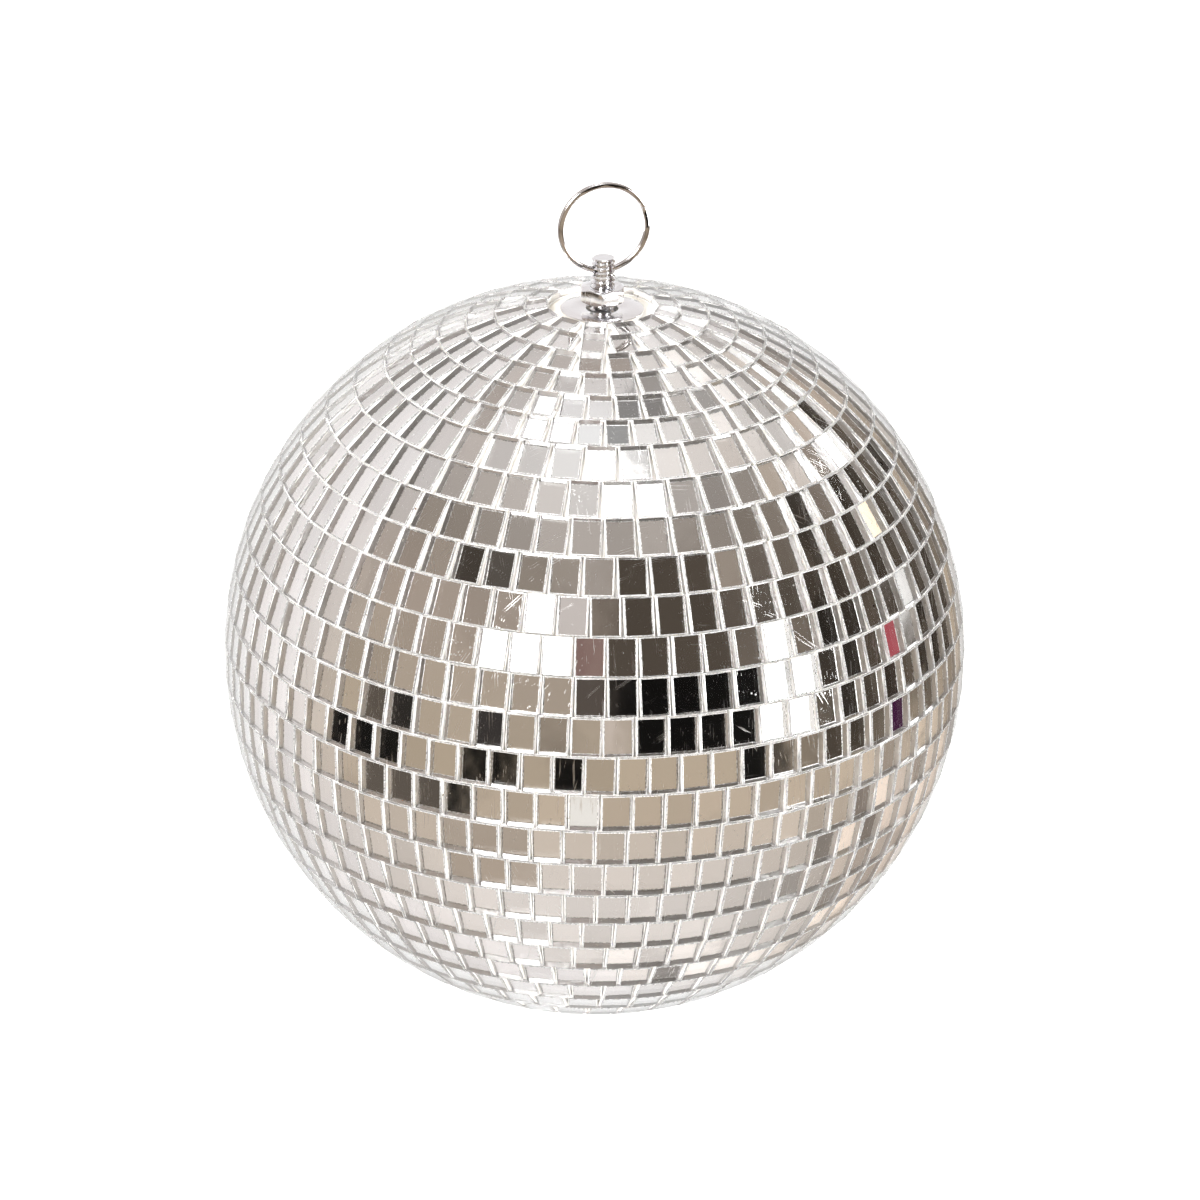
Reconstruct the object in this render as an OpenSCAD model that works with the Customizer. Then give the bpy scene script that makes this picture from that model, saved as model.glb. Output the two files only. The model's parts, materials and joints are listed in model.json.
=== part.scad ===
// Mirror ball with its hanging hardware.
// A moulded core in two halves carries an adhesive skin and rows of cut mirror tiles.
// A threaded stud, locked inside by a nut, hangs the ball from a split ring.
// Millimetres, +Z up, origin at the inner top of the split ring, where the ball hangs.

/* [Ball] */
// Diameter over the mirror tiles
ball_d = 200; // [150:1:280]
// Thickness of the adhesive layer under the tiles
adhesive_t = 0.32; // [0.3:0.02:1]
// Gap between the core and the adhesive layer
bond_gap = 0.08; // [0.08:0.01:0.2]
// Wall of the moulded core
core_wall = 2.4; // [2:0.1:4]
// Height of the lap joint between the core's two halves
lap_h = 4; // [3:0.5:8]
// Clearance in the lap joint
lap_clearance = 0.05; // [0.03:0.01:0.15]

/* [Mirror tiles] */
// Thickness of the mirror glass
tile_t = 2; // [1.5:0.1:3]
// Width of a large tile, along its row
large_tile_w = 7.2; // [6:0.1:9]
// Height of a large tile, along the meridian
large_tile_h = 9.7; // [8:0.1:12]
// Width of a small tile, near the poles
small_tile_w = 5.8; // [5:0.1:7]
// Height of a small tile, near the poles
small_tile_h = 7.6; // [6:0.1:9]
// Gap between two rows, at the back of the glass
row_gap = 0.25; // [0.2:0.05:0.6]
// Least gap between two tiles in a row, at the back of the glass
tile_gap = 0.7; // [0.6:0.05:1.2]
// Angle from each pole, in degrees, inside which the tiles are small
small_zone = 34; // [25:1:45]
// Least bare ring between the washer and the first row
bare_ring = 3; // [0.6:0.1:5]
// Least height that a tile is trimmed to, in the row next to the washer
least_trimmed_h = 3; // [2:0.5:5]

/* [Hand-laid unevenness] */
// Most that a tile tilts out of the sphere's surface, in degrees
tile_tilt = 1.1; // [0:0.1:1.3]
// Most that a tile turns in its own plane, in degrees
tile_turn = 0.8; // [0:0.1:1]
// Most that a tile strays along its row
tile_stray = 0.1; // [0:0.02:0.14]
// Most that a tile stands proud of the adhesive
tile_lift = 0.06; // [0:0.01:0.1]

/* [Stud and thread] */
// Outer diameter of the stud's thread
thread_d = 6.35; // [5:0.05:8]
// Pitch of the thread
thread_pitch = 1.27; // [0.8:0.01:1.5]
// Height of the stud's top above the washer
stud_rise = 14.1; // [12:0.1:20]
// Diameter of the hole across the stud
cross_hole_d = 3; // [2.6:0.1:3.6]
// Depth of the cross hole's axis below the stud's top
cross_hole_drop = 3.6; // [3:0.1:6]
// Chamfer at each end of the stud
stud_chamfer = 0.25; // [0.2:0.05:1]
// How far the stud runs on past the inner nut
stud_tail = 3; // [1:0.5:10]

/* [Nuts] */
// Width across the flats of both nuts
nut_af = 11.1; // [10:0.1:13]
// Height of the thin lock nut outside
lock_nut_h = 3.97; // [3:0.01:5]
// Gap that the loose lock nut stands at above the washer
lock_nut_gap = 2.1; // [1:0.05:4]
// Height of the full nut inside
inner_nut_h = 5.56; // [4:0.01:7]
// Play between a nut's bore and the thread's crests, on the radius
nut_play = 0.06; // [0.03:0.01:0.1]
// Turn of the lock nut about the stud, in degrees
lock_nut_turn = 15; // [0:1:59]

/* [Washers and seat] */
// Outer diameter of the washer on top
washer_d = 22; // [16:0.1:28]
// Clearance round the stud in the washer on top, on the radius
washer_play = 1.05; // [0.3:0.05:1.5]
// Thickness of the washer on top
washer_t = 1.2; // [0.8:0.1:2]
// Depth of the seat's floor below the core's highest point
seat_depth = 1.1; // [0.8:0.1:2]
// Clearance round the stud in the core, on the radius
core_play = 0.85; // [0.3:0.05:1.2]
// Thickness of the boss under the seat
boss_t = 4; // [3:0.5:8]
// How far the boss under the seat reaches past the washer on top
boss_rim = 5; // [4:0.5:8]
// Diameter of the backing plate inside
plate_d = 30; // [24:1:38]
// Thickness of the backing plate
plate_t = 1.5; // [1:0.1:3]
// Clearance round the stud in the backing plate and the spring washer, on the radius
plate_play = 0.22; // [0.1:0.02:0.5]
// Outer diameter of the spring washer
spring_washer_d = 11.7; // [11:0.1:13]
// Thickness of the spring washer
spring_washer_t = 1.6; // [1:0.1:2]
// Width of the slit in the spring washer
spring_washer_slit = 0.8; // [0.4:0.1:1.5]

/* [Split ring] */
// Inner radius of the ring
ring_inner_r = 11; // [8:0.1:14]
// Radial width of the ring's flattened wire
wire_w = 1.3; // [1:0.05:1.4]
// Thickness of one coil of the wire
wire_t = 0.8; // [0.6:0.05:0.85]
// Gap between the two coils
coil_gap = 0.06; // [0.04:0.01:0.1]
// Angle over which the wire steps from one coil to the other
step_angle = 26; // [20:1:40]
// Where that step is, in degrees up from the ring's right side
step_at = 8; // [0:1:30]
// Space between a wire's end and the step, in degrees
end_gap = 4; // [3:1:8]
// Space between the ring and the cross hole's wall
ring_clearance = 0.1; // [0.05:0.01:0.15]

/* [Hidden] */
$fn = 96;
// Facets of the large round shapes
fine = 180;
// How far a cutting shape runs past what it cuts
cut = 1;
// Least clearance between the adhesive and a tilted tile
skin_clearance = 0.01;
// How far the adhesive reaches in past the first row
skin_lip = 0.1;
// Depth of a sixty-degree thread, as a share of its pitch
thread_share = 0.6134;
// Plain length between a stud's chamfer and its first groove
plain_end = 0.3;
// Width of the flat face that a nut's rounded corners leave, as a share of its flats
nut_face_share = 0.96;

ball_r = ball_d / 2;
tile_back_r = ball_r - tile_t;
adhesive_r = tile_back_r * cos(1.5 * tile_tilt) - skin_clearance;
adhesive_inner_r = adhesive_r - adhesive_t;
core_r = adhesive_inner_r - bond_gap;
core_inner_r = core_r - core_wall;
lap_r = core_r - core_wall / 2;

// Near a pole a flat tile's corners reach past its edge: by how much in the first row,
// and what a turned tile adds to that
opening_r = washer_d / 2 + bare_ring;
turn_room = small_tile_w / 2 * sin(tile_turn);
corner_room = pow(small_tile_w / 2, 2) / 2 / (opening_r + least_trimmed_h) + turn_room;
small_gap = max(row_gap, corner_room);

// Each row's pitch, as the angle that a tile and its gap take on the sphere
large_pitch = 2 * atan((large_tile_h + row_gap) / 2 / tile_back_r);
small_pitch = 2 * atan((small_tile_h + small_gap) / 2 / tile_back_r);

// The rows that fit: large ones from the equator up, small ones towards the washer,
// and a last one of small tiles trimmed to the room that is left
large_rows_each_side = floor((90 - small_zone) / large_pitch - 0.5);
large_edge = 90 - (large_rows_each_side + 0.5) * large_pitch;
opening_edge = asin(opening_r / tile_back_r);
full_small_rows = floor((large_edge - opening_edge) / small_pitch);
trimmed_edge = large_edge - full_small_rows * small_pitch;
trimmed_h = 2 * tile_back_r * tan((trimmed_edge - opening_edge) / 2) - small_gap;
has_trimmed_row = trimmed_h >= least_trimmed_h;
small_rows = full_small_rows + (has_trimmed_row ? 1 : 0);
rows = 2 * large_rows_each_side + 1 + 2 * small_rows;

// The rings of small tiles that fit inside the last row at the bottom, as the polar angle of
// each ring's outer edge, and the side of the square tile that closes the middle
function edge_inside(limit) =
    asin(sqrt(pow(tile_back_r * sin(limit) - turn_room, 2) - pow(small_tile_w / 2, 2)) / tile_back_r);
least_centre_edge = asin((least_trimmed_h / sqrt(2) + tile_gap / 2) / tile_back_r);
bottom_edges = [
    for (edge = edge_inside(has_trimmed_row ? opening_edge : trimmed_edge);
         edge - small_pitch >= least_centre_edge;
         edge = edge_inside(edge - small_pitch)) edge];
bottom_middle_edge = bottom_edges[len(bottom_edges) - 1] - small_pitch;
bottom_tile_side = min(large_tile_w,
    sqrt(2) * (tile_back_r * sin(bottom_middle_edge) - tile_gap / 2));

// The opening in the adhesive, and the flat seat in it that the washer lies on
seat_z = core_r - seat_depth;
seat_r = opening_r - skin_lip;
boss_r = washer_d / 2 + boss_rim;
washer_hole_d = thread_d + 2 * washer_play;
core_hole_d = thread_d + 2 * core_play;
plate_hole_d = thread_d + 2 * plate_play;
washer_top_z = seat_z + washer_t;
lock_nut_z = washer_top_z + lock_nut_gap;
stud_top_z = washer_top_z + stud_rise;
cross_hole_z = stud_top_z - cross_hole_drop;
boss_bottom_z = seat_z - boss_t;
plate_z = boss_bottom_z - plate_t;
spring_washer_z = plate_z - spring_washer_t;
inner_nut_z = spring_washer_z - inner_nut_h;
stud_bottom_z = inner_nut_z - stud_tail;
thread_depth = thread_share * thread_pitch;
nut_bore_d = thread_d + 2 * nut_play;

// The ring hangs in the cross hole: its two coils touch the hole's roof at both mouths
ring_t = 2 * wire_t + coil_gap;
ring_reach = sqrt(pow(cross_hole_d / 2 - ring_clearance, 2) - pow(ring_t / 2, 2));
ring_sag = ring_inner_r - sqrt(pow(ring_inner_r, 2) - pow(thread_d / 2, 2));
ring_z = cross_hole_z + ring_reach - ring_sag + ring_inner_r;
ball_z = -(ring_z + ring_inner_r);

function two_digits(i) = i < 10 ? str("0", i) : str(i);
function row_name(i) = str("mirror_row_", two_digits(i));

// A flat ring of metal standing on z = 0
module flat_ring(outer_d, hole_d, t) {
    difference() {
        cylinder(d = outer_d, h = t);
        translate([0, 0, -cut]) cylinder(d = hole_d, h = t + 2 * cut);
    }
}

// A hexagon nut standing on z = 0, with its corners taken off at both faces
module hex_nut(af, h) {
    corner_r = af / 2 / cos(30);
    face_r = af / 2 * nut_face_share;
    chamfer_h = (corner_r - face_r) * tan(30);
    difference() {
        intersection() {
            cylinder(r = corner_r, h = h, $fn = 6);
            rotate_extrude() polygon([
                [0, 0], [face_r, 0], [corner_r, chamfer_h],
                [corner_r, h - chamfer_h], [face_r, h], [0, h]]);
        }
        translate([0, 0, -cut]) cylinder(d = nut_bore_d, h = h + 2 * cut);
    }
}

// The stud's half outline: a sixty-degree thread as rings of crests and roots
module stud_outline() {
    crest_r = thread_d / 2;
    root_r = crest_r - thread_depth;
    crest_flat = thread_pitch / 8;
    flank = thread_depth * tan(30);
    low = stud_bottom_z + stud_chamfer + plain_end;
    high = stud_top_z - stud_chamfer - plain_end;
    turns = floor((high - low) / thread_pitch);
    spare = (high - low - turns * thread_pitch) / 2;
    groove = [for (i = [0 : turns - 1]) let (z = low + spare + i * thread_pitch) each [
        [crest_r, z + crest_flat / 2],
        [root_r, z + crest_flat / 2 + flank],
        [root_r, z + thread_pitch - crest_flat / 2 - flank],
        [crest_r, z + thread_pitch - crest_flat / 2]]];
    polygon(concat(
        [[0, stud_bottom_z], [crest_r - stud_chamfer, stud_bottom_z],
         [crest_r, stud_bottom_z + stud_chamfer]],
        groove,
        [[crest_r, stud_top_z - stud_chamfer], [crest_r - stud_chamfer, stud_top_z],
         [0, stud_top_z]]));
}

module hanger_stud() {
    color([0.72, 0.73, 0.74]) difference() {
        rotate_extrude() stud_outline();
        translate([0, 0, cross_hole_z]) rotate([0, 90, 0])
            cylinder(d = cross_hole_d, h = thread_d + 2 * cut, center = true);
    }
}

module lock_nut() {
    color([0.7, 0.72, 0.75]) translate([0, 0, lock_nut_z]) rotate([0, 0, lock_nut_turn])
        hex_nut(nut_af, lock_nut_h);
}

module top_washer() {
    color([0.75, 0.75, 0.75]) translate([0, 0, seat_z])
        flat_ring(washer_d, washer_hole_d, washer_t);
}

module backing_plate() {
    color([0.66, 0.67, 0.68]) translate([0, 0, plate_z])
        flat_ring(plate_d, plate_hole_d, plate_t);
}

module spring_washer() {
    color([0.55, 0.56, 0.57]) translate([0, 0, spring_washer_z]) difference() {
        flat_ring(spring_washer_d, plate_hole_d, spring_washer_t);
        translate([0, -spring_washer_slit / 2, -cut])
            cube([spring_washer_d, spring_washer_slit, spring_washer_t + 2 * cut]);
    }
}

module inner_nut() {
    color([0.7, 0.72, 0.75]) translate([0, 0, inner_nut_z]) hex_nut(nut_af, inner_nut_h);
}

// The part of a spherical wall that lies between two heights, as a half outline
module wall_outline(outer_r, inner_r, low, high) {
    intersection() {
        difference() {
            circle(r = outer_r, $fn = fine);
            circle(r = inner_r, $fn = fine);
        }
        translate([0, low]) square([ball_r, high - low]);
    }
}

module core_upper() {
    color([0.93, 0.92, 0.88]) rotate_extrude($fn = fine) difference() {
        intersection() {
            union() {
                wall_outline(core_r, core_inner_r, 0, ball_r);
                translate([0, boss_bottom_z]) square([boss_r, boss_t]);
            }
            circle(r = core_r, $fn = fine);
        }
        wall_outline(lap_r + lap_clearance, core_inner_r - cut, -cut, lap_h + lap_clearance);
        translate([0, seat_z]) square([seat_r, ball_r]);
        square([core_hole_d / 2, ball_r]);
    }
}

module core_lower() {
    color([0.93, 0.92, 0.88]) rotate_extrude($fn = fine) union() {
        wall_outline(core_r, core_inner_r, -ball_r, 0);
        wall_outline(lap_r, core_inner_r, -cut, lap_h);
    }
}

module adhesive_skin() {
    color([0.96, 0.95, 0.92]) rotate_extrude($fn = fine) difference() {
        wall_outline(adhesive_r, adhesive_inner_r, -ball_r, ball_r);
        square([seat_r, ball_r]);
    }
}

// One cut mirror tile, on the sphere at a polar angle and a turn about the ball's axis
module tile(w, h, polar, turn, tilt_x, tilt_y, yaw, lift) {
    rotate([0, polar, turn]) translate([0, 0, tile_back_r + lift])
        rotate([tilt_x, tilt_y, yaw]) translate([-h / 2, -w / 2, 0]) cube([h, w, tile_t]);
}

// A closed row of tiles, as many as fit round its narrower edge
module tile_row(w, h, polar, seed) {
    inner_edge_r = tile_back_r * sin(polar) - h / 2 * abs(cos(polar));
    count = floor(180 / atan((w + tile_gap) / 2 / inner_edge_r));
    phase = rands(0, 360 / count, 1, seed)[0];
    stray = tile_stray / (PI * tile_back_r * sin(polar)) * 180;
    chance = rands(-1, 1, 5 * count, seed + 100);
    color([0.78, 0.77, 0.76]) for (i = [0 : count - 1])
        tile(w, h, polar, phase + i * 360 / count + stray * chance[5 * i],
             tile_tilt * chance[5 * i + 1], tile_tilt * chance[5 * i + 2],
             tile_turn * chance[5 * i + 3], tile_lift * abs(chance[5 * i + 4]));
}

// Row i, counted down from the top: small rows, large rows, then small rows again
module mirror_row(i) {
    from_equator = i - (rows + 1) / 2;
    beyond = abs(from_equator) - large_rows_each_side;
    is_large = beyond <= 0;
    is_trimmed = beyond > full_small_rows;
    from_pole = is_large ? 90 - abs(from_equator) * large_pitch
        : is_trimmed ? (trimmed_edge + opening_edge) / 2
        : large_edge - (beyond - 0.5) * small_pitch;
    tile_row(is_large ? large_tile_w : small_tile_w,
             is_large ? large_tile_h : is_trimmed ? trimmed_h : small_tile_h,
             from_equator < 0 ? from_pole : 180 - from_pole, i);
}

// The rings of tiles inside the last row at the bottom
module bottom_tiles() {
    for (ring = [1 : len(bottom_edges)])
        tile_row(small_tile_w, small_tile_h, 180 - (bottom_edges[ring - 1] - small_pitch / 2),
                 rows + ring);
}

// One square tile that closes the bottom pole
module bottom_tile() {
    color([0.78, 0.77, 0.76])
        tile(bottom_tile_side, bottom_tile_side, 180, 0, 0, 0, 0, 0);
}

// The wire's centre along its two coils: an angle round the ring gives its place across it
function wire_y(a) = let (
    side = (wire_t + coil_gap) / 2,
    along = (a - (360 + step_at - step_angle / 2)) / step_angle)
    along <= 0 ? -side : along >= 1 ? side : -side * cos(180 * along);

module split_ring() {
    first = step_at + step_angle / 2 + end_gap;
    last = 720 + step_at - step_angle / 2 - end_gap;
    steps = 168;
    corners = [[-1, -1], [1, -1], [1, 1], [-1, 1]];
    mid_r = ring_inner_r + wire_w / 2;
    points = [for (k = [0 : steps]) let (a = first + (last - first) * k / steps)
        for (c = corners) let (r = mid_r + c[0] * wire_w / 2)
            [r * cos(a), wire_y(a) + c[1] * wire_t / 2, r * sin(a)]];
    sides = [for (k = [0 : steps - 1]) for (c = [0 : 3])
        [4 * k + c, 4 * k + (c + 1) % 4, 4 * k + 4 + (c + 1) % 4, 4 * k + 4 + c]];
    color([0.35, 0.33, 0.32]) translate([0, 0, ring_z])
        polyhedron(points, concat([[3, 2, 1, 0]], sides,
            [[for (c = [0 : 3]) 4 * steps + c]]), convexity = 4);
}

module place() {
    translate([0, 0, ball_z]) children();
}

place() split_ring();
place() hanger_stud();
place() lock_nut();
place() top_washer();
place() backing_plate();
place() spring_washer();
place() inner_nut();
place() core_upper();
place() core_lower();
place() adhesive_skin();
place() bottom_tiles();
place() bottom_tile();
for (i = [1 : rows])
    place() mirror_row(i);
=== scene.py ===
# Mirror ball with its hanging hardware: looks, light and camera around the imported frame.
# Metres, +Z up, origin at the inner top of the split ring.
import json
import math
import random

import bmesh
import bpy
from mathutils import Matrix, Vector


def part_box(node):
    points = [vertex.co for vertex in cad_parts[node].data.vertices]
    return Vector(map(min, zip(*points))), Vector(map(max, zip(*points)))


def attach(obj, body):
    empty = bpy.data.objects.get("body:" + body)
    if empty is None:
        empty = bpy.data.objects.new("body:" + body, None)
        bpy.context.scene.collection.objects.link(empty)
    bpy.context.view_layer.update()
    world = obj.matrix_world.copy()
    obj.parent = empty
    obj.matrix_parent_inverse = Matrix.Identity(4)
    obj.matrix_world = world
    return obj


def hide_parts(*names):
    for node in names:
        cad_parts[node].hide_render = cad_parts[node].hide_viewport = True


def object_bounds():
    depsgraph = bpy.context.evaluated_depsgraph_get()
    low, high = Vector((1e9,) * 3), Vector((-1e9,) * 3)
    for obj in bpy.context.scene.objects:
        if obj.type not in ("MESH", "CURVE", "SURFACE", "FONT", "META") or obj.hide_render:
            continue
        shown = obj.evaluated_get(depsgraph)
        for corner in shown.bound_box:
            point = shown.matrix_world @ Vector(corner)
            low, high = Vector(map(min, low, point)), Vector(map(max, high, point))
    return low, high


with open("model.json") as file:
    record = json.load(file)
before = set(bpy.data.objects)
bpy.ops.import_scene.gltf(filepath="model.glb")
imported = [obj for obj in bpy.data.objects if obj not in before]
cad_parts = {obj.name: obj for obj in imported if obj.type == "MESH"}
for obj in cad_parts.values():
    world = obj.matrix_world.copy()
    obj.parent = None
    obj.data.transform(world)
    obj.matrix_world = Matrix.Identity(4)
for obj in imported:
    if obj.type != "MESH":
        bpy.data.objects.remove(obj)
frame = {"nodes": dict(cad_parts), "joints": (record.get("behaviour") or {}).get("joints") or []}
cad_low, cad_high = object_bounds()
MM = 0.001

# ---------------------------------------------------------------- places, all from the frame
skin_low, skin_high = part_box("adhesive_skin")
ADHESIVE_R = (skin_high[0] - skin_low[0]) / 2
BALL_CENTRE = Vector((0, 0, skin_low[2] + ADHESIVE_R))
BALL_R = BALL_CENTRE.z - cad_low[2]
ROWS = sorted(n for n in frame["nodes"] if n.startswith("mirror_row_"))
TILE_NODES = ROWS + ["bottom_tiles", "bottom_tile"]


def radii_of(name):
    """Least and greatest distance of a node's corners from the stud's axis."""
    away = [math.hypot(v.co.x, v.co.y) for v in frame["nodes"][name].data.vertices]
    return min(away), max(away)


# ---------------------------------------------------------------- small tools for shader nodes
class Tree:
    """Adds nodes to a node tree and links them."""

    def __init__(self, tree):
        self.tree = tree

    def add(self, kind, settings=None, **inputs):
        made = self.tree.nodes.new(kind)
        for key, value in (settings or {}).items():
            setattr(made, key, value)
        for key, value in inputs.items():
            self.feed(made, key, value)
        return made

    def feed(self, made, key, value):
        """Sets or links one input: key is its name with _ for spaces, or in_0, in_1 and so on."""
        socket = made.inputs[int(key[3:])] if key.startswith("in_") else made.inputs[key.replace("_", " ")]
        if isinstance(value, bpy.types.NodeSocket):
            self.tree.links.new(value, socket)
        else:
            socket.default_value = value

    def math(self, operation, first, second=0.0, third=0.0, clamp=False):
        made = self.add("ShaderNodeMath", {"operation": operation, "use_clamp": clamp},
                        in_0=first, in_1=second, in_2=third)
        return made.outputs[0]

    def mix(self, share, first, second, blend="MIX"):
        """Mixes two colours."""
        made = self.add("ShaderNodeMix", {"data_type": "RGBA", "blend_type": blend})
        self.feed(made, "in_0", share)
        self.feed(made, "in_6", first)
        self.feed(made, "in_7", second)
        return made.outputs[2]

    def ramp(self, value, stops):
        """A straight colour ramp with (place, colour) stops."""
        made = self.add("ShaderNodeValToRGB", Fac=value)
        elements = made.color_ramp.elements
        while len(elements) < len(stops):
            elements.new(0.5)
        for element, (place, colour) in zip(elements, stops):
            element.position = place
            element.color = (*colour, 1)
        return made.outputs["Color"]

    def step(self, value, low, high):
        """0 below low and 1 above high, with a smooth change between."""
        made = self.add("ShaderNodeMapRange", {"interpolation_type": "SMOOTHSTEP"}, Value=value)
        made.inputs["From Min"].default_value = low
        made.inputs["From Max"].default_value = high
        return made.outputs["Result"]

    def noise(self, vector, scale, detail=3.0, roughness=0.5):
        made = self.add("ShaderNodeTexNoise", Vector=vector, Scale=scale, Detail=detail, Roughness=roughness)
        return made.outputs["Fac"]

    def use(self, group, **inputs):
        made = self.add("ShaderNodeGroup", {"node_tree": group})
        for key, value in inputs.items():
            self.feed(made, key, value)
        return made.outputs


def srgb(r, g, b):
    """A colour given as 0 to 255 on screen, in linear light."""
    shares = (r / 255, g / 255, b / 255)
    return tuple(c / 12.92 if c <= 0.04045 else ((c + 0.055) / 1.055) ** 2.4 for c in shares)


# ---------------------------------------------------------------- shader groups that several finishes use
def new_group(name, inputs, outputs):
    """An empty shader group with named float inputs and outputs, and a vector input first."""
    group = bpy.data.node_groups.new(name, "ShaderNodeTree")
    group.interface.new_socket("Place", in_out="INPUT", socket_type="NodeSocketVector")
    for key, value in inputs.items():
        socket = group.interface.new_socket(key, in_out="INPUT", socket_type="NodeSocketFloat")
        socket.default_value = value
    for key in outputs:
        group.interface.new_socket(key, in_out="OUTPUT", socket_type="NodeSocketFloat")
    tree = Tree(group)
    return group, tree, tree.add("NodeGroupInput"), tree.add("NodeGroupOutput")


def scratches_group():
    """Fine straight scratches in two directions, as a mask."""
    group, t, given, result = new_group("scratches", {"Scale": 1.0, "Amount": 0.5}, ["Mask"])
    masks = []
    for turn, stretch in ((0.5, (2400, 70, 70)), (-0.9, (70, 2800, 70)), (1.9, (1900, 1900, 60))):
        turned = t.add("ShaderNodeMapping", Vector=given.outputs["Place"], Rotation=(turn, turn * 2, turn),
                       Scale=stretch)
        scaled = t.add("ShaderNodeVectorMath", {"operation": "SCALE"}, in_0=turned.outputs[0],
                       Scale=given.outputs["Scale"])
        streak = t.noise(scaled.outputs[0], 1.0, 2.0)
        masks.append(t.step(streak, 0.675, 0.735))
    both = t.math("MAXIMUM", t.math("MAXIMUM", masks[0], masks[1]), masks[2])
    t.feed(result, "Mask", t.math("MULTIPLY", both, given.outputs["Amount"]))
    return group


def smears_group():
    """Soft finger smears and haze, as a mask; on the nickel wire it places painted dark reflections."""
    group, t, given, result = new_group("smears", {"Scale": 60.0, "Amount": 0.5}, ["Mask"])
    wide = t.noise(given.outputs["Place"], given.outputs["Scale"], 4.0, 0.6)
    mask = t.step(wide, 0.42, 0.72)
    t.feed(result, "Mask", t.math("MULTIPLY", mask, given.outputs["Amount"]))
    return group


def specks_group():
    """Small round specks of dust or glue, as a mask."""
    group, t, given, result = new_group("specks", {"Scale": 500.0, "Size": 0.2, "Share": 0.3}, ["Mask"])
    cells = t.add("ShaderNodeTexVoronoi", Vector=given.outputs["Place"], Scale=given.outputs["Scale"])
    near = t.math("LESS_THAN", cells.outputs["Distance"], given.outputs["Size"])
    pick = t.add("ShaderNodeSeparateColor", Color=cells.outputs["Color"])
    chosen = t.math("LESS_THAN", pick.outputs[0], given.outputs["Share"])
    t.feed(result, "Mask", t.math("MULTIPLY", near, chosen))
    return group


SCRATCHES = scratches_group()
SMEARS = smears_group()
SPECKS = specks_group()


# ---------------------------------------------------------------- finishes
def new_finish(name, **plain):
    """A material with a Principled BSDF; plain values go straight on its sockets."""
    material = bpy.data.materials.new(name)
    material.use_nodes = True
    material.node_tree.nodes.clear()
    t = Tree(material.node_tree)
    shader = t.add("ShaderNodeBsdfPrincipled", **plain)
    out = t.add("ShaderNodeOutputMaterial")
    t.tree.links.new(shader.outputs[0], out.inputs["Surface"])
    place = t.add("ShaderNodeTexCoord").outputs["Object"]
    return material, t, shader, place


def bump(t, shader, height, strength, distance):
    made = t.add("ShaderNodeBump", Strength=strength, Distance=distance, Height=height)
    t.feed(shader, "Normal", made.outputs[0])


def clear_glass():
    """The front of a tile: clear glass with fine scratches, haze and a few specks."""
    material, t, shader, place = new_finish("clear_glass", Transmission_Weight=1.0, IOR=1.52)
    scratched = t.use(SCRATCHES, Place=place, Scale=1.0, Amount=0.75)["Mask"]
    smeared = t.use(SMEARS, Place=place, Scale=70.0, Amount=0.05)["Mask"]
    specks = t.use(SPECKS, Place=place, Scale=420.0, Size=0.11, Share=0.16)["Mask"]
    rough = t.math("ADD", t.math("MULTIPLY", scratched, 0.4), smeared)
    t.feed(shader, "Roughness", t.math("ADD", rough, t.math("MULTIPLY", specks, 0.3), clamp=True))
    t.feed(shader, "Base_Color", t.mix(smeared, (0.99, 0.995, 0.99, 1), (0.95, 0.95, 0.95, 1)))
    return material


def cut_glass_edge():
    """The snapped sides of a tile: mostly clear, with faint ripples from the break."""
    material, t, shader, place = new_finish("cut_glass_edge", Transmission_Weight=0.7, IOR=1.52)
    ripple = t.noise(place, 420.0, 3.0, 0.55)
    fine = t.noise(place, 1800.0, 3.0, 0.6)
    t.feed(shader, "Roughness", t.math("MULTIPLY", t.step(fine, 0.4, 0.75), 0.35))
    t.feed(shader, "Base_Color", t.mix(ripple, (0.99, 0.98, 0.975, 1), (1.0, 1.0, 1.0, 1)))
    bump(t, shader, t.math("MULTIPLY_ADD", fine, 0.3, ripple), 0.3, 0.0003)
    return material


def chipped_rim():
    """The front rim of a tile, where the cutter left small bright chips."""
    material, t, shader, place = new_finish("chipped_rim", Transmission_Weight=0.7, IOR=1.52)
    chips = t.noise(place, 1300.0, 4.0, 0.7)
    t.feed(shader, "Roughness", t.step(chips, 0.35, 0.7))
    t.feed(shader, "Base_Color", t.mix(chips, (0.92, 0.94, 0.93, 1), (1.0, 1.0, 1.0, 1)))
    bump(t, shader, chips, 0.9, 0.0004)
    return material


def silvering():
    """The silvered back of a tile: very slightly wavy, with a few dark spots where it has failed."""
    material, t, shader, place = new_finish("silvering", Metallic=1.0)
    wave = t.noise(place, 90.0, 2.0)
    spots = t.use(SPECKS, Place=place, Scale=260.0, Size=0.13, Share=0.012)["Mask"]
    haze = t.noise(place, 35.0, 3.0)
    t.feed(shader, "Base_Color", t.mix(spots, t.mix(haze, (0.985, 0.98, 0.98, 1), (0.95, 0.94, 0.935, 1)),
                                       (0.12, 0.1, 0.09, 1)))
    t.feed(shader, "Roughness", t.math("MULTIPLY_ADD", haze, 0.05, 0.0))
    bump(t, shader, wave, 0.05, 0.0003)
    return material


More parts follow.
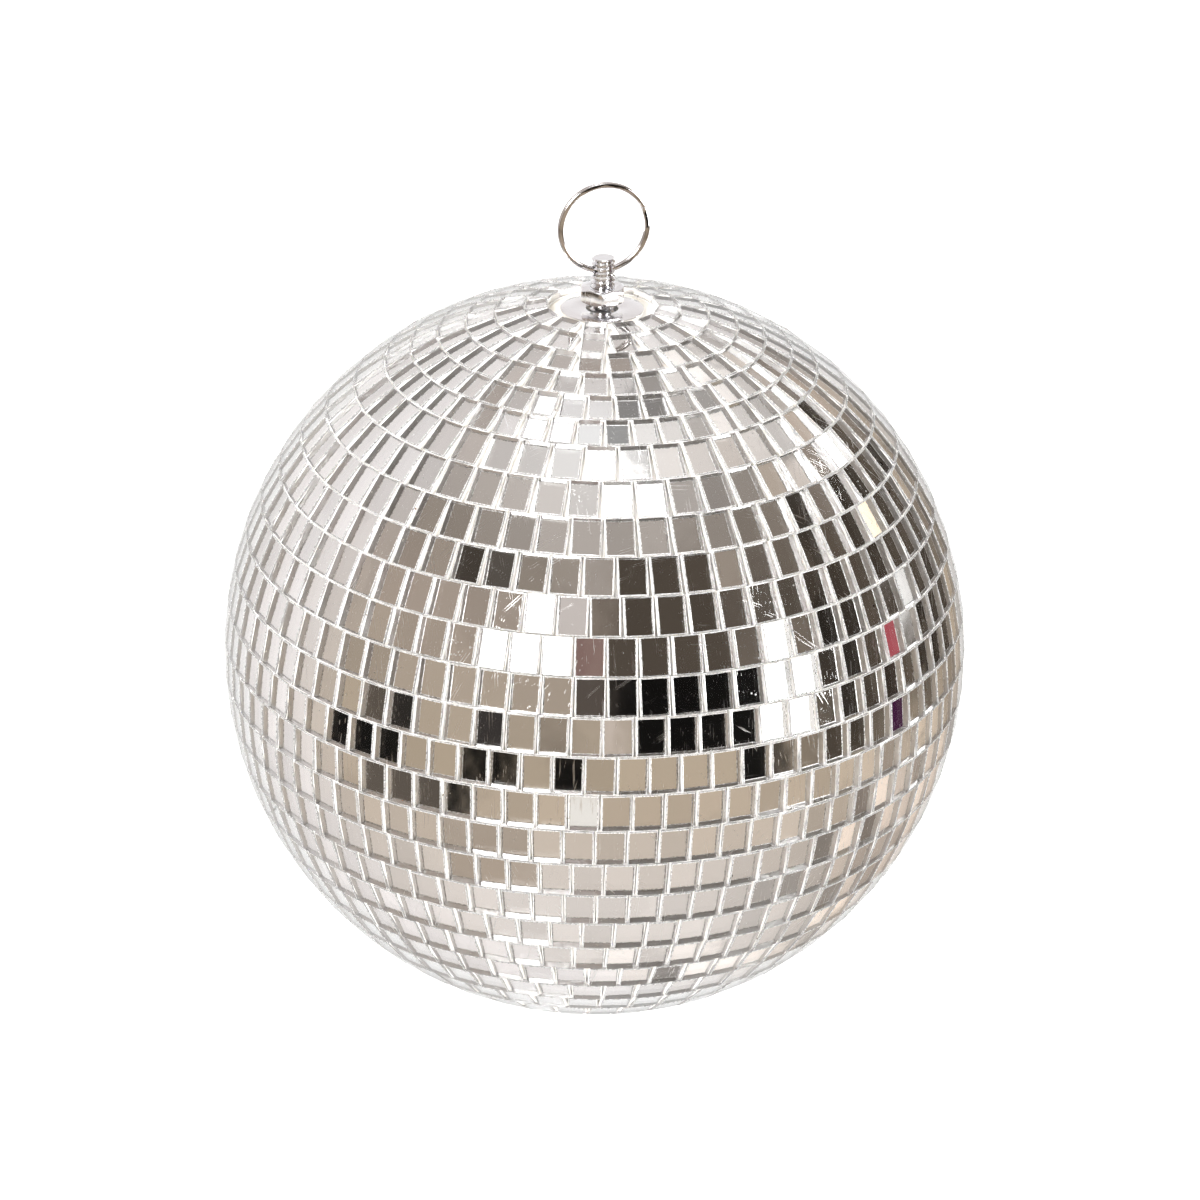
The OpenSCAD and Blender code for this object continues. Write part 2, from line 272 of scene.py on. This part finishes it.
def white_adhesive():
    """Matt white glue, lumpy, a little yellowed and dusty."""
    material, t, shader, place = new_finish("white_adhesive", Roughness=0.75, Subsurface_Weight=0.15)
    shader.inputs["Subsurface Radius"].default_value = (0.002, 0.0018, 0.0014)
    lumps = t.noise(place, 160.0, 4.0, 0.6)
    grain = t.noise(place, 1500.0, 3.0)
    age = t.noise(place, 40.0, 3.0)
    colour = t.mix(age, (*srgb(252, 251, 250), 1), (*srgb(240, 237, 232), 1))
    specks = t.use(SPECKS, Place=place, Scale=350.0, Size=0.1, Share=0.12)["Mask"]
    t.feed(shader, "Base_Color", t.mix(specks, colour, (*srgb(120, 105, 90), 1)))
    bump(t, shader, t.math("ADD", lumps, t.math("MULTIPLY", grain, 0.15)), 0.6, 0.0008)
    return material


def core_plastic():
    """The moulded core: cream, matt, with a fine moulded grain."""
    material, t, shader, place = new_finish("core_plastic", Roughness=0.55, Subsurface_Weight=0.1)
    shader.inputs["Subsurface Radius"].default_value = (0.003, 0.0025, 0.002)
    grain = t.noise(place, 1200.0, 4.0)
    cloud = t.noise(place, 55.0, 3.0)
    t.feed(shader, "Base_Color", t.mix(cloud, (*srgb(246, 244, 238), 1), (*srgb(234, 230, 220), 1)))
    bump(t, shader, grain, 0.35, 0.0002)
    return material


def plated_steel(name, colour, wear_and_dark_reflection_colour, least_rough, most_rough, scratch_amount, grain_height=0.12 * MM):
    """Bright plated steel with haze, scratches, a slight tool grain and smeared patches of a second colour:
    wear on most steels, painted dark reflections on the nickel wire.
    """
    material, t, shader, place = new_finish(name, Metallic=1.0)
    haze = t.noise(place, 180.0, 4.0, 0.6)
    scratched = t.use(SCRATCHES, Place=place, Scale=1.2, Amount=scratch_amount)["Mask"]
    smeared = t.use(SMEARS, Place=place, Scale=130.0, Amount=0.6)["Mask"]
    # smeared patches take the second colour: real wear, except on the nickel wire, where it is painted dark
    # reflection
    t.feed(shader, "Base_Color", t.mix(smeared, (*colour, 1), (*wear_and_dark_reflection_colour, 1)))
    rough = t.math("MULTIPLY_ADD", haze, most_rough - least_rough, least_rough)
    t.feed(shader, "Roughness", t.math("ADD", rough, t.math("MULTIPLY", scratched, 0.2), clamp=True))
    grain = t.math("ADD", t.noise(place, 2200.0, 2.0), t.math("MULTIPLY", scratched, 0.7))
    bump(t, shader, grain, 0.12, grain_height)
    return material


FINISH = {
    "glass": clear_glass(),
    "edge": cut_glass_edge(),
    "rim": chipped_rim(),
    "silver": silvering(),
    "adhesive": white_adhesive(),
    "core": core_plastic(),
    "zinc": plated_steel("zinc_plated_steel", (0.9, 0.9, 0.92), (0.78, 0.77, 0.77), 0.06, 0.24, 0.6),
    "washer": plated_steel("polished_washer", (0.92, 0.91, 0.92), (0.84, 0.83, 0.83), 0.08, 0.2, 0.5,
                           grain_height=0.03 * MM),
    "plain": plated_steel("plain_steel", (0.55, 0.55, 0.56), (0.42, 0.4, 0.38), 0.25, 0.45, 0.8),
    # the nickel's near-black second colour is painted reflection: the dark streaks the wire shows from the
    # room, put into its colour
    "nickel": plated_steel("nickel_wire", (0.74, 0.72, 0.72), (0.22, 0.2, 0.19), 0.03, 0.12, 0.6),
}


# ---------------------------------------------------------------- making pieces
def solid_copy(name):
    """A CAD node's shape as clean, joined and flat faces in a new bmesh."""
    bm = bmesh.new()
    bm.from_mesh(frame["nodes"][name].data)
    bmesh.ops.remove_doubles(bm, verts=bm.verts, dist=1e-6)
    bmesh.ops.dissolve_limit(bm, angle_limit=math.radians(0.5), verts=bm.verts, edges=bm.edges)
    for f in bm.faces:
        f.smooth = False
    return bm


def finish_piece(bm, name, finishes, body, replaced, smooth_below=None):
    """Turns a bmesh into a piece that rides on a body and stands for CAD nodes."""
    mesh = bpy.data.meshes.new(name)
    bm.to_mesh(mesh)
    bm.free()
    # a CAD mesh brings its own corner normals, which would shade the new faces as curved
    if "custom_normal" in mesh.attributes:
        mesh.attributes.remove(mesh.attributes["custom_normal"])
    for finish in finishes:
        mesh.materials.append(FINISH[finish])
    if smooth_below is not None:
        mesh.polygons.foreach_set("use_smooth", [True] * len(mesh.polygons))
        mesh.set_sharp_from_angle(angle=math.radians(smooth_below))
    piece = bpy.data.objects.new(name, mesh)
    bpy.context.scene.collection.objects.link(piece)
    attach(piece, body)
    if replaced:
        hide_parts(*replaced)
    return piece


# ---------------------------------------------------------------- mirror tiles
CHAMFER = 0.13 * MM
CHIP = 0.09 * MM
# How far outwards a face looks, at least: a front as cut, a front or back when finished, a chipped rim
END_FACE = 0.8
FLAT_FACE = 0.95
RIM_FACE = 0.35
TILE_FINISHES = ["glass", "edge", "silver", "rim"]
FRONT, SIDE, BACK, RIM = range(4)


def facing(face):
    """How far a tile's face looks away from the ball's centre, from -1 to 1."""
    return face.normal.dot((face.calc_center_median() - BALL_CENTRE).normalized())


def cut_tiles(name, seed):
    """A row of glass tiles: silvered back, clear front, and snapped edges with small chips."""
    chance = random.Random(seed)
    bm = solid_copy(name)
    bm.normal_update()
    rim = list({e for f in bm.faces if facing(f) > END_FACE for e in f.edges})
    bmesh.ops.subdivide_edges(bm, edges=rim, cuts=2)
    rim = list({e for f in bm.faces if facing(f) > END_FACE for e in f.edges})
    bmesh.ops.bevel(bm, geom=rim, offset=CHAMFER, offset_type="OFFSET", segments=1, profile=0.5,
                    affect="EDGES", material=-1)
    bm.normal_update()
    for f in bm.faces:
        look = facing(f)
        if abs(look) > FLAT_FACE:
            f.material_index = FRONT if look > 0 else BACK
        else:
            f.material_index = RIM if look > RIM_FACE else SIDE
    for f in bm.faces:
        if f.material_index != FRONT:
            continue
        middle = f.calc_center_median()
        for v in f.verts:
            inward = (middle - v.co).normalized()
            v.co += inward * chance.uniform(0, CHIP)
    piece_name = name.replace("mirror_row", "tile_row") + "_glass"
    return finish_piece(bm, piece_name, TILE_FINISHES, "ball", [name])


for index, row in enumerate(TILE_NODES):
    cut_tiles(row, 40 + index)


# ---------------------------------------------------------------- glue squeezed up round the tiles
GLUE_SIDE = 0.3 * MM
GLUE_END = 0.1 * MM
GLUE_GAP = 0.012 * MM
GLUE_BELOW = 0.04 * MM
GLUE_HIGH = (1.1 * MM, 1.75 * MM)
GLUE_LOW = (0.5 * MM, 1.2 * MM)


def unit_collar():
    """A square ring two units wide, as a flat band pulled up into a closed solid one unit high."""
    bm = bmesh.new()
    bmesh.ops.create_grid(bm, x_segments=1, y_segments=1, size=1)
    bmesh.ops.inset_individual(bm, faces=bm.faces, thickness=0.5, use_even_offset=True)
    middle = min(bm.faces, key=lambda f: f.calc_center_median().length)
    bmesh.ops.delete(bm, geom=[middle], context="FACES_ONLY")
    bmesh.ops.subdivide_edges(bm, edges=[e for e in bm.edges if e.calc_length() > 0.9], cuts=2)
    raised = bmesh.ops.extrude_face_region(bm, geom=bm.faces[:])
    bmesh.ops.translate(bm, verts=[g for g in raised["geom"] if isinstance(g, bmesh.types.BMVert)],
                        vec=(0, 0, 1))
    bmesh.ops.recalc_face_normals(bm, faces=bm.faces)
    mesh = bpy.data.meshes.new("collar")
    bm.to_mesh(mesh)
    bm.free()
    return mesh


def tile_frames(name):
    """The middle of each tile's back, its edges along the meridian and along the row, and the way out."""
    bm = solid_copy(name)
    bm.normal_update()
    frames = []
    for back in [f for f in bm.faces if facing(f) < -END_FACE]:
        out = -back.normal
        sides = sorted((e.verts[1].co - e.verts[0].co for e in back.edges), key=lambda v: abs(v.z))
        row, meridian = sides[0], sides[-1]
        frames.append((back.calc_center_median(), meridian, row, out))
    bm.free()
    return frames


def glue_collars(name, rows, seed):
    """Ragged white glue in the joints round every tile of some rows, as one piece."""
    chance = random.Random(seed)
    collar = unit_collar()
    bm = bmesh.new()
    for row_name in rows:
        for middle, meridian, row, out in tile_frames(row_name):
            start = len(bm.verts)
            bm.from_mesh(collar)
            bm.verts.ensure_lookup_table()
            half_h, half_w = meridian.length / 2, row.length / 2
            meridian, row = meridian.normalized(), row.normalized()
            for v in bm.verts[start:]:
                x, y, top = v.co
                outer = max(abs(x), abs(y)) > 0.75
                across = half_h + (GLUE_END if outer else GLUE_GAP)
                along = half_w + (GLUE_SIDE if outer else GLUE_GAP)
                scale = 1 if outer else 2
                rise = chance.uniform(*(GLUE_LOW if outer else GLUE_HIGH)) if top > 0.5 else -GLUE_BELOW
                v.co = (middle + meridian * (x * scale * across) + row * (y * scale * along) + out * rise)
    bpy.data.meshes.remove(collar)
    bmesh.ops.recalc_face_normals(bm, faces=bm.faces)
    return finish_piece(bm, name, ["adhesive"], "ball", [], 180)


half = len(ROWS) // 2
glue_collars("glue_between_upper_tiles", ROWS[:half], 7)
glue_collars("glue_between_lower_tiles", ROWS[half:], 8)


# ---------------------------------------------------------------- hanging hardware
def round_sharp_edges(bm, least_turn, offset, segments):
    """Bevels the edges where a shape turns by more than an angle."""
    least = math.radians(least_turn)
    sharp = [e for e in bm.edges if len(e.link_faces) == 2 and e.calc_face_angle(0) > least]
    bmesh.ops.bevel(bm, geom=sharp, offset=offset, offset_type="OFFSET", segments=segments, profile=0.5,
                    affect="EDGES", material=-1, clamp_overlap=True)


TURN_STEPS = 128
WASHER_EDGE = 0.22 * MM
RING_EDGE = 0.37 * MM
NUT_EDGE = 0.12 * MM


def turned_ring(hole_r, outer_r, low, high, edge):
    """A flat ring turned from its section, with rounded edges."""
    bm = bmesh.new()
    corners = [(hole_r, low), (outer_r, low), (outer_r, high), (hole_r, high)]
    verts = [bm.verts.new((r, 0, z)) for r, z in corners]
    edges = [bm.edges.new((verts[i], verts[(i + 1) % 4])) for i in range(4)]
    bmesh.ops.spin(bm, geom=verts + edges, cent=(0, 0, 0), axis=(0, 0, 1), angle=math.tau, steps=TURN_STEPS,
                   use_merge=True)
    bmesh.ops.remove_doubles(bm, verts=bm.verts, dist=1e-7)
    bmesh.ops.recalc_face_normals(bm, faces=bm.faces)
    round_sharp_edges(bm, 60, edge, 3)
    return bm


def top_washer():
    hole_r, outer_r = radii_of("top_washer")
    low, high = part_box("top_washer")
    bm = turned_ring(hole_r, outer_r, low[2], high[2], WASHER_EDGE)
    return finish_piece(bm, "polished_top_washer", ["washer"], "ball", ["top_washer"], 40)


def split_ring():
    bm = solid_copy("split_ring")
    bmesh.ops.join_triangles(bm, faces=bm.faces, angle_face_threshold=math.radians(20),
                             angle_shape_threshold=math.radians(40))
    round_sharp_edges(bm, 50, RING_EDGE, 4)
    return finish_piece(bm, "wire_split_ring", ["nickel"], "ring", ["split_ring"], 35)


THREAD_PITCH = 1.27 * MM
THREAD_DEPTH = 0.6134 * THREAD_PITCH
THREAD_STEPS = 40
STUD_CHAMFER = 0.25 * MM
CROSS_HOLE_R = 1.5 * MM
DRILL_LENGTH = 12 * MM


def threaded_stud():
    """The stud with a true helical thread and flat, chamfered ends."""
    crest_r = radii_of("hanger_stud")[1]
    root_r = crest_r - THREAD_DEPTH
    low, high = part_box("hanger_stud")
    section = [(crest_r, 0), (crest_r, 0.125), (root_r, 0.46), (root_r, 0.665), (crest_r, 1)]
    turns = math.ceil((high[2] - low[2]) / THREAD_PITCH) + 2
    bm = bmesh.new()
    start = low[2] - 1.5 * THREAD_PITCH
    verts = [bm.verts.new((r, 0, start + share * THREAD_PITCH)) for r, share in section]
    edges = [bm.edges.new(pair) for pair in zip(verts, verts[1:])]
    bmesh.ops.spin(bm, geom=verts + edges, cent=(0, 0, 0), axis=(0, 0, 1), angle=math.tau * turns,
                   dvec=(0, 0, THREAD_PITCH / THREAD_STEPS), steps=THREAD_STEPS * turns)
    bmesh.ops.remove_doubles(bm, verts=bm.verts, dist=1e-6)
    for level, up in ((low[2], -1), (high[2], 1)):
        cut = bmesh.ops.bisect_plane(bm, geom=bm.verts[:] + bm.edges[:] + bm.faces[:], dist=1e-7,
                                     plane_co=(0, 0, level), plane_no=(0, 0, up), clear_outer=True)
        loop = [g for g in cut["geom_cut"] if isinstance(g, bmesh.types.BMEdge)]
        bmesh.ops.edgeloop_fill(bm, edges=loop)
    for v in bm.verts:
        reach = crest_r - STUD_CHAMFER + min(high[2] - v.co.z, v.co.z - low[2])
        away = math.hypot(v.co.x, v.co.y)
        if away > reach:
            v.co.x *= reach / away
            v.co.y *= reach / away
    bmesh.ops.recalc_face_normals(bm, faces=bm.faces)
    return finish_piece(bm, "threaded_hanger_stud", ["zinc"], "ball", ["hanger_stud"], 25)


def drill_cross_hole(stud):
    """Cuts the cross hole, whose axis is the joint that the ball swings on."""
    swing = next(j for j in frame["joints"] if j["name"] == "ball_swing")
    bm = bmesh.new()
    bmesh.ops.create_cone(bm, cap_ends=True, segments=48, radius1=CROSS_HOLE_R, radius2=CROSS_HOLE_R,
                          depth=DRILL_LENGTH)
    bmesh.ops.rotate(bm, verts=bm.verts, matrix=Matrix.Rotation(math.pi / 2, 3, "Y"))
    bmesh.ops.translate(bm, verts=bm.verts, vec=Vector(swing["pos_m"]))
    mesh = bpy.data.meshes.new("drill")
    bm.to_mesh(mesh)
    bm.free()
    drill = bpy.data.objects.new("drill", mesh)
    bpy.context.scene.collection.objects.link(drill)
    cut = stud.modifiers.new("cross_hole", "BOOLEAN")
    cut.object = drill
    cut.operation = "DIFFERENCE"
    cut.solver = "EXACT"
    bpy.context.view_layer.update()
    shape = bpy.data.meshes.new_from_object(stud.evaluated_get(bpy.context.evaluated_depsgraph_get()))
    stud.modifiers.clear()
    stud.data = shape
    bpy.data.objects.remove(drill)


def lock_nut():
    bm = solid_copy("lock_nut")
    round_sharp_edges(bm, 40, NUT_EDGE, 2)
    return finish_piece(bm, "hexagon_lock_nut", ["zinc"], "nut", ["lock_nut"], 30)


top_washer()
split_ring()
stud = threaded_stud()
drill_cross_hole(stud)
lock_nut()

# ---------------------------------------------------------------- CAD nodes that stay, with their finishes
KEPT = {
    "adhesive_skin": "adhesive",
    "core_upper": "core",
    "core_lower": "core",
    "inner_nut": "zinc",
    "spring_washer": "plain",
    "backing_plate": "plain",
}
for name, finish in KEPT.items():
    data = frame["nodes"][name].data
    data.materials.clear()
    data.materials.append(FINISH[finish])


# ---------------------------------------------------------------- studio: floor, world and lamps
CAMERA_TURN = -15.0
CAMERA_UP = 25.1
FLOOR_BELOW = 1.5
FLOOR_HALF = 12


def towards(turn, up):
    """The direction of a place round the ball: turn 0 is the -Y side, and it grows towards +X."""
    a, e = math.radians(turn), math.radians(up)
    return Vector((math.sin(a) * math.cos(e), -math.cos(a) * math.cos(e), math.sin(e)))


def view_side():
    return towards(CAMERA_TURN, CAMERA_UP)


def studio_floor():
    material, t, shader, place = new_finish("pale_floor", Roughness=0.9)
    cloud = t.noise(place, 1.5, 2.0)
    t.feed(shader, "Base_Color", t.mix(cloud, (0.93, 0.93, 0.93, 1), (0.9, 0.9, 0.9, 1)))
    shader.inputs["Emission Color"].default_value = (1, 1, 1, 1)
    shader.inputs["Emission Strength"].default_value = 0.6
    bm = bmesh.new()
    bmesh.ops.create_grid(bm, x_segments=4, y_segments=4, size=FLOOR_HALF)
    bmesh.ops.translate(bm, verts=bm.verts, vec=(0, 0, cad_low[2] - FLOOR_BELOW))
    mesh = bpy.data.meshes.new("studio_floor")
    bm.to_mesh(mesh)
    bm.free()
    mesh.materials.append(material)
    floor = bpy.data.objects.new("studio_floor", mesh)
    bpy.context.scene.collection.objects.link(floor)
    floor.visible_glossy = False
    floor.visible_transmission = False


# Things that stand round the ball in the studio and show in its tiles.
# Each is (turn, height, width, tall) in degrees, a colour on screen, a brightness and a softness in degrees.
SURROUNDINGS = [
    ((-37, 33, 14, 14), (255, 255, 255), 12, 1.0),
    ((-37, 19, 24, 14), (255, 255, 255), 12, 1.0),
    ((-20, 22, 7, 11), (118, 92, 88), 1.0, 6.0),
    ((-22, 38, 12, 14), (200, 192, 188), 1.0, 7.0),
    ((48, 14, 9, 18), (255, 255, 255), 12, 1.0),
    ((46, 0, 21, 18), (255, 255, 255), 12, 1.0),
    ((107, 25, 12, 8), (255, 255, 255), 10, 1.0),
    ((103, 17, 8, 8), (255, 240, 214), 1.1, 2.0),
    ((14, 2, 41, 25), (20, 19, 18), 1.0, 1.5),
    ((31, -17, 9, 10), (24, 23, 22), 1.0, 1.0),
    ((40, -16, 8, 9), (70, 64, 58), 1.0, 1.0),
    ((13, 33, 46, 36), (78, 70, 62), 1.0, 4.0),
    ((-12, 8, 14, 12), (84, 76, 70), 1.0, 3.0),
    ((48, 42, 12, 12), (40, 38, 36), 1.0, 2.0),
    ((60, 38, 9, 8), (66, 62, 58), 1.0, 2.0),
    ((-70, 41, 11, 11), (66, 60, 54), 1.0, 2.0),
    ((-56, 43, 12, 10), (88, 82, 76), 1.0, 3.0),
    ((-44, -7, 8, 8), (60, 56, 54), 1.0, 4.0),
    ((-46, -18, 8, 10), (20, 19, 18), 1.0, 1.0),
    ((-25, -18, 8, 10), (20, 19, 18), 1.0, 1.0),
    ((-24, -6, 12, 9), (92, 84, 76), 1.0, 5.0),
    ((-12, -6, 5, 6), (228, 214, 204), 1.0, 2.0),
    ((-89, -20, 20, 11), (24, 23, 22), 1.0, 1.0),
    ((-75, -8, 16, 10), (44, 41, 38), 1.0, 3.0),
    ((-85, -6, 10, 6), (112, 102, 92), 1.0, 2.0),
    ((-60, -29, 11, 10), (26, 25, 24), 1.0, 1.0),
    ((-77, -30, 22, 10), (96, 88, 80), 1.0, 2.0),
    ((-61, -46, 10, 6), (90, 82, 74), 1.0, 2.0),
    ((-17, -33, 11, 11), (234, 230, 224), 1.0, 1.5),
    ((90, -1, 5, 7), (170, 84, 92), 1.0, 1.0),
    ((90, -9, 6, 6), (206, 150, 150), 1.0, 1.0),
    ((99, -1, 9, 12), (200, 198, 196), 1.0, 1.5),
    ((91, -19, 9, 9), (84, 44, 78), 1.0, 1.0),
    ((73, 22, 7, 8), (190, 172, 142), 1.0, 1.5),
    ((66, 0, 12, 26), (52, 47, 42), 1.0, 3.0),
    ((92, 4, 72, 50), (72, 64, 56), 1.0, 8.0),
    ((114, -2, 26, 34), (40, 37, 35), 1.0, 6.0),
    ((60, 26, 50, 20), (92, 84, 76), 1.0, 6.0),
    ((141, 68, 16, 8), (30, 28, 28), 1.0, 1.0),
    ((122, 48, 56, 24), (224, 218, 214), 1.0, 10.0),
    ((-52, -46, 34, 15), (172, 157, 142), 1.0, 8.0),
    ((112, -38, 70, 20), (216, 200, 186), 1.0, 10.0),
    ((10, 74, 60, 18), (255, 255, 255), 5, 5.0),
    ((-140, 74, 50, 10), (250, 250, 255), 3, 6.0),
]
# The room's own colours, from straight down to straight up, on the darker and on the paler side.
ROOM = [(-90, (228, 221, 216)), (-62, (226, 218, 212)), (-48, (212, 202, 193)), (-32, (190, 174, 156)),
        (-16, (182, 166, 146)), (0, (172, 158, 142)), (25, (170, 156, 144)), (45, (140, 130, 120)),
        (60, (178, 170, 164)), (68, (214, 208, 204)), (90, (240, 240, 240))]
PALE_SIDE = [(-90, (242, 237, 236)), (-45, (241, 235, 233)), (0, (243, 238, 237)), (45, (236, 231, 230)),
             (58, (172, 161, 153)), (70, (226, 222, 221)), (90, (242, 242, 242))]


def room_colours(t, height, stops):
    places = [((angle + 90) / 180, srgb(*colour)) for angle, colour in stops]
    return t.ramp(t.math("MULTIPLY_ADD", height, 1 / math.pi, 0.5), places)


CLUTTER_CELLS = 9.0
CLUTTER_SHARE = 0.12
CLUTTER_MORE_RIGHT = 0.55


def studio_world():
    world = bpy.data.worlds.new("studio")
    bpy.context.scene.world = world
    world.use_nodes = True
    world.node_tree.nodes.clear()
    t = Tree(world.node_tree)
    place = t.add("ShaderNodeTexCoord").outputs["Generated"]
    x, y, z = t.add("ShaderNodeSeparateXYZ", Vector=place).outputs
    turn = t.math("ARCTAN2", x, t.math("MULTIPLY", y, -1.0))
    height = t.math("ARCSINE", z)
    pale = t.math("MAXIMUM", t.step(turn, math.radians(-92), math.radians(-126)),
                  t.step(turn, math.radians(136), math.radians(152)))
    colour = t.mix(pale, room_colours(t, height, ROOM), room_colours(t, height, PALE_SIDE))
    for (at, up, wide, tall), shown, bright, soft in SURROUNDINGS[::-1]:
        aside = t.math("ABSOLUTE", t.math("SUBTRACT", turn, math.radians(at)))
        above = t.math("ABSOLUTE", t.math("SUBTRACT", height, math.radians(up)))
        edge = math.radians(soft)
        mask = t.math("MULTIPLY",
                      t.step(aside, math.radians(wide / 2) + edge / 2, math.radians(wide / 2) - edge / 2),
                      t.step(above, math.radians(tall / 2) + edge / 2, math.radians(tall / 2) - edge / 2))
        lit = tuple(c * bright for c in srgb(*shown))
        colour = t.mix(mask, colour, (*lit, 1))
    clutter = t.add("ShaderNodeTexVoronoi", Vector=place, Scale=CLUTTER_CELLS)
    pick = t.add("ShaderNodeSeparateColor", Color=clutter.outputs["Color"]).outputs[0]
    right = t.math("MULTIPLY", t.step(turn, math.radians(50), math.radians(75)),
                   t.step(turn, math.radians(150), math.radians(138)))
    spread = t.math("MULTIPLY_ADD", right, CLUTTER_MORE_RIGHT, CLUTTER_SHARE)
    shade = t.math("ADD", 1.0, t.math("MULTIPLY", spread, t.math("MULTIPLY_ADD", pick, 2.0, -1.0)))
    grey = t.add("ShaderNodeCombineColor", Red=shade, Green=shade, Blue=shade).outputs[0]
    colour = t.mix(1.0, colour, grey, "MULTIPLY")
    away = t.add("ShaderNodeVectorMath", {"operation": "DOT_PRODUCT"}, in_0=place, in_1=tuple(-view_side()))
    white_side = t.math("MAXIMUM", pale, t.step(height, math.radians(0), math.radians(30)))
    backdrop = t.math("MULTIPLY", t.step(away.outputs["Value"], 0.62, 0.9), white_side)
    colour = t.mix(backdrop, colour, (1.05, 1.05, 1.05, 1))
    seen = t.add("ShaderNodeLightPath").outputs["Is Camera Ray"]
    colour = t.mix(seen, colour, (1, 1, 1, 1))
    back = t.add("ShaderNodeBackground", Color=colour, Strength=1.0)
    out = t.add("ShaderNodeOutputWorld")
    t.tree.links.new(back.outputs[0], out.inputs["Surface"])


def soft_lamp(name, turn, up, distance, size, power):
    lamp = bpy.data.lights.new(name, "AREA")
    lamp.shape = "DISK"
    lamp.size = size
    lamp.energy = power
    where = bpy.data.objects.new(name, lamp)
    where.visible_glossy = False
    where.visible_transmission = False
    out = towards(turn, up)
    where.location = BALL_CENTRE + out * distance
    where.rotation_euler = out.to_track_quat("Z", "Y").to_euler()
    bpy.context.scene.collection.objects.link(where)


# ---------------------------------------------------------------- camera
CAMERA_AWAY = 11.6 * BALL_R
LENS = 128.0
CAMERA_ROLL = 1.3
AIM_ABOVE = 12.2 * MM
AIM_RIGHT = 1.2 * MM


def camera():
    out = view_side()
    right = Vector((0, 0, 1)).cross(out).normalized()
    up = out.cross(right)
    lens = bpy.data.cameras.new("camera")
    lens.lens = LENS
    lens.sensor_width = 36
    lens.clip_start = 0.01
    made = bpy.data.objects.new("camera", lens)
    made.location = BALL_CENTRE + out * CAMERA_AWAY
    aim = BALL_CENTRE + up * AIM_ABOVE + right * AIM_RIGHT
    level = (made.location - aim).to_track_quat("Z", "Y").to_matrix()
    made.rotation_euler = (level @ Matrix.Rotation(math.radians(CAMERA_ROLL), 3, "Z")).to_euler()
    bpy.context.scene.collection.objects.link(made)
    bpy.context.scene.camera = made


studio_floor()
studio_world()
soft_lamp("key_softbox", -70, 45, 1.6, 0.9, 30)
soft_lamp("fill_softbox", 60, 35, 1.8, 1.0, 22)
soft_lamp("low_softbox", -10, -50, 1.8, 1.0, 16)
camera()
bpy.context.scene.view_settings.view_transform = "Standard"
